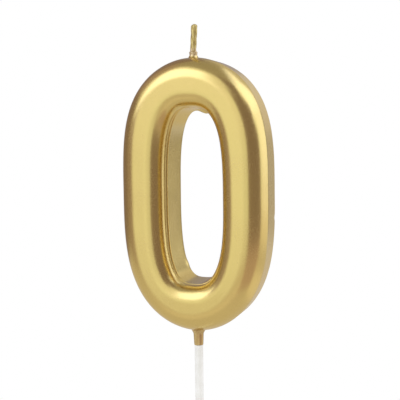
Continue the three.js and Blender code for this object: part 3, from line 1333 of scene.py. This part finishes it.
def glow(name: str, brightness: float, tint: Colour) -> Material:
    """Makes a card's even tone, where a brightness of 1 is white."""
    inputs = {"Color": (*tint, 1.0), "Strength": brightness}
    return SurfaceGraph(name).finished("ShaderNodeEmission", inputs)


@dataclass(frozen=True)
class Studio:
    """The white room, its floor, its softboxes and its cards."""

    fill: float = 0.88
    floor_radius: float = 0.6
    floor_level: float = -50.1 * MM
    floor_colour: Colour = (0.83, 0.81, 0.75)
    white_from: float = 0.045
    white_to: float = 0.105
    panels: tuple[StudioPanel, ...] = (
        Softbox("front softbox", -37, 31, 41, 42, 1.02, COOL),
        Softbox("side softbox", 123, 8, 40, 28, 0.44, COOL),
        Softbox("upper side softbox", 117, 46, 54, 46, 0.75, COOL),
        Card("front flag", 60, -2, 75, 40, 0.2, WARM, 0.3),
        Card("upper front flag", 52, 28, 67, 24, 0.2, WARM, 0.3),
        Card("top front flag", 42, 51, 32, 22, 0.2, WARM, 0.3),
        Card("left flag", -110, 5, 86, 42, 0.21, WARM, 0.3),
        Card("upper left flag", -131, 35, 46, 50, 0.22, WARM, 0.3),
        Card("left glow", -93, 42, 34, 34, 0.34, WARM, 0.3),
        Card("rear flag", -161, 24, 20, 60, 0.37, (1.05, 1.0, 1.3), 0.3),
        Card("low left flag", -58, -3, 34, 27, 0.27, WARM, 0.32),
        Card("low right flag", 63, -31, 58, 26, 0.42, WARM, 0.11),
        Card("low side bounce", 116, -44, 44, 24, 0.8, DULL, 0.11),
        Card("low front bounce", -6, -48, 60, 30, 0.74, DULL, 0.11),
        Card("front bounce", -19, -8, 26, 22, 1.08, (0.96, 1.0, 1.0), 0.32),
        Card("right bounce", 8, -8, 26, 22, 0.92, (0.97, 1.0, 1.0), 0.32),
        Card("back flag", 150, 4, 20, 30, 0.31, DULL, 0.28),
        Card("back card", 168, -2, 40, 20, 0.53, DULL, 0.3),
        Card("low side card", 118, -21, 40, 30, 0.86, DULL, 0.3),
        Card("low back card", 149, -20, 24, 22, 0.66, (1.0, 1.04, 1.5), 0.3),
        Card("upper back card", 167, 12, 42, 18, 0.72, DULL, 0.3),
        Card("high back card", 167, 39, 42, 36, 0.58, DULL, 0.3),
        Card("top card", -130, 84, 58, 68, 0.38, DULL, 0.7),
    )
    table_brightness: float = 0.63
    table_inner: float = 0.004
    table_outer: float = 1.2
    table_lift: float = 3 * MM

    def build(self) -> None:
        """Sets up the whole studio."""
        self._light_room()
        self._lay_floor()
        self._lay_table()
        for panel in self.panels:
            panel.build()
        LOG.info("studio: %d panels", len(self.panels))

    @staticmethod
    def _seen(graph: Graph) -> Wire:
        """Tells the rays that show the background, to the camera and through gloss and glass.

        Args:
            graph: The tree.

        Returns:
            1 for those rays and 0 for the others.
        """
        path = graph.node("ShaderNodeLightPath")
        names = ("Is Camera Ray", "Is Glossy Ray", "Is Transmission Ray")
        camera, glossy, glass = (Wire(graph, path.outputs[name]) for name in names)
        return (camera + glossy + glass).lesser(1.0)

    def _light_room(self) -> None:
        """Makes the room white to the eye and a little dimmer as a light."""
        world = bpy.data.worlds.new("white room")
        world.use_nodes = True
        graph = Graph(world.node_tree)
        strength = self.fill + self._seen(graph) * (1 - self.fill)
        room = graph.wire("ShaderNodeBackground", {"Color": WHITE, "Strength": strength})
        graph.node("ShaderNodeOutputWorld", {"Surface": room})
        bpy.context.scene.world = world

    def _lay_floor(self) -> None:
        """Lays the pale floor, which keeps the candle's shadow and fades to white further out."""
        graph = SurfaceGraph("pale floor")
        x, y, _ = graph.place.split()
        reach = graph.joined(x, y, 0.0).length()
        fade = reach.ranged(self.white_from, self.white_to, easing="SMOOTHSTEP") * self._seen(graph)
        pale = graph.wire("ShaderNodeBsdfDiffuse", {"Color": (*self.floor_colour, 1.0)})
        white = graph.wire("ShaderNodeEmission", {"Color": WHITE, "Strength": 1.0})
        material = graph.finished("ShaderNodeMixShader", {0: fade, 1: pale, 2: white})
        corners = (Corner(self.floor_radius, self.floor_level), Corner(0, self.floor_level))
        self._lay("floor", corners, material)

    def _lay_table(self) -> None:
        """Lays the grey card round the candle that dims the lower half of its reflections."""
        level = self.floor_level + self.table_lift
        corners = (Corner(self.table_outer, level), Corner(self.table_inner, level))
        hide_card(self._lay("table card", corners, glow("table card", self.table_brightness, DULL)))

    @staticmethod
    def _lay(name: str, corners: Sequence[Corner], material: Material) -> Object:
        """Makes a flat round object of the stage.

        Args:
            name: Its name.
            corners: Its outer and its inner edge.
            material: Its finish.

        Returns:
            The object.
        """
        made = placed(name, lathed(name, corners, STAGE_SIDES))
        made.data.materials.append(material)
        return made


@dataclass(frozen=True)
class PhotoCamera:
    """The camera at the photograph's viewing angle, which is given in degrees.

    At the aim one pixel of the picture covers the given metres, and the aim falls on the centre.
    """

    azimuth: float = 23.35
    elevation: float = 5.75
    roll: float = -0.77
    distance: float = 0.3
    pixel: float = 0.07 / 272
    picture: int = 400
    centre: tuple[float, float] = (196.03, 195.5)

    def build(self) -> None:
        """Adds the camera and makes it the scene's own."""
        lens = bpy.data.cameras.new("photo camera")
        lens.sensor_width = 36.0
        lens.lens = self.distance / self.pixel * lens.sensor_width / self.picture
        lens.clip_start = 0.01
        camera = placed("photo camera", lens)
        back = bearing(self.azimuth, self.elevation)
        level = Vector((math.cos(math.radians(self.azimuth)), math.sin(math.radians(self.azimuth)), 0))
        lean = Matrix.Rotation(math.radians(self.roll), 3, back)
        right = lean @ level
        up = lean @ back.cross(level)
        off_right, off_down = (place - self.picture / 2 for place in self.centre)
        target = AIM - right * off_right * self.pixel + up * off_down * self.pixel
        pose = Matrix((right, up, back)).transposed().to_4x4()
        pose.translation = target + back * self.distance
        camera.matrix_world = pose
        bpy.context.scene.camera = camera
        LOG.info("camera: %.1f mm lens", lens.lens)


def main() -> None:
    """Builds the studio and the candle, piece by piece."""
    logging.basicConfig(level=logging.INFO, format="%(message)s")
    bpy.context.scene.view_settings.view_transform = "Standard"
    PhotoCamera().build()
    Studio().build()
    WaxCore().dress()
    GoldCoat().build()
    Wick().build()
    NeckCollar().build()
    Pick().build()


if __name__ == "__main__":
    main()
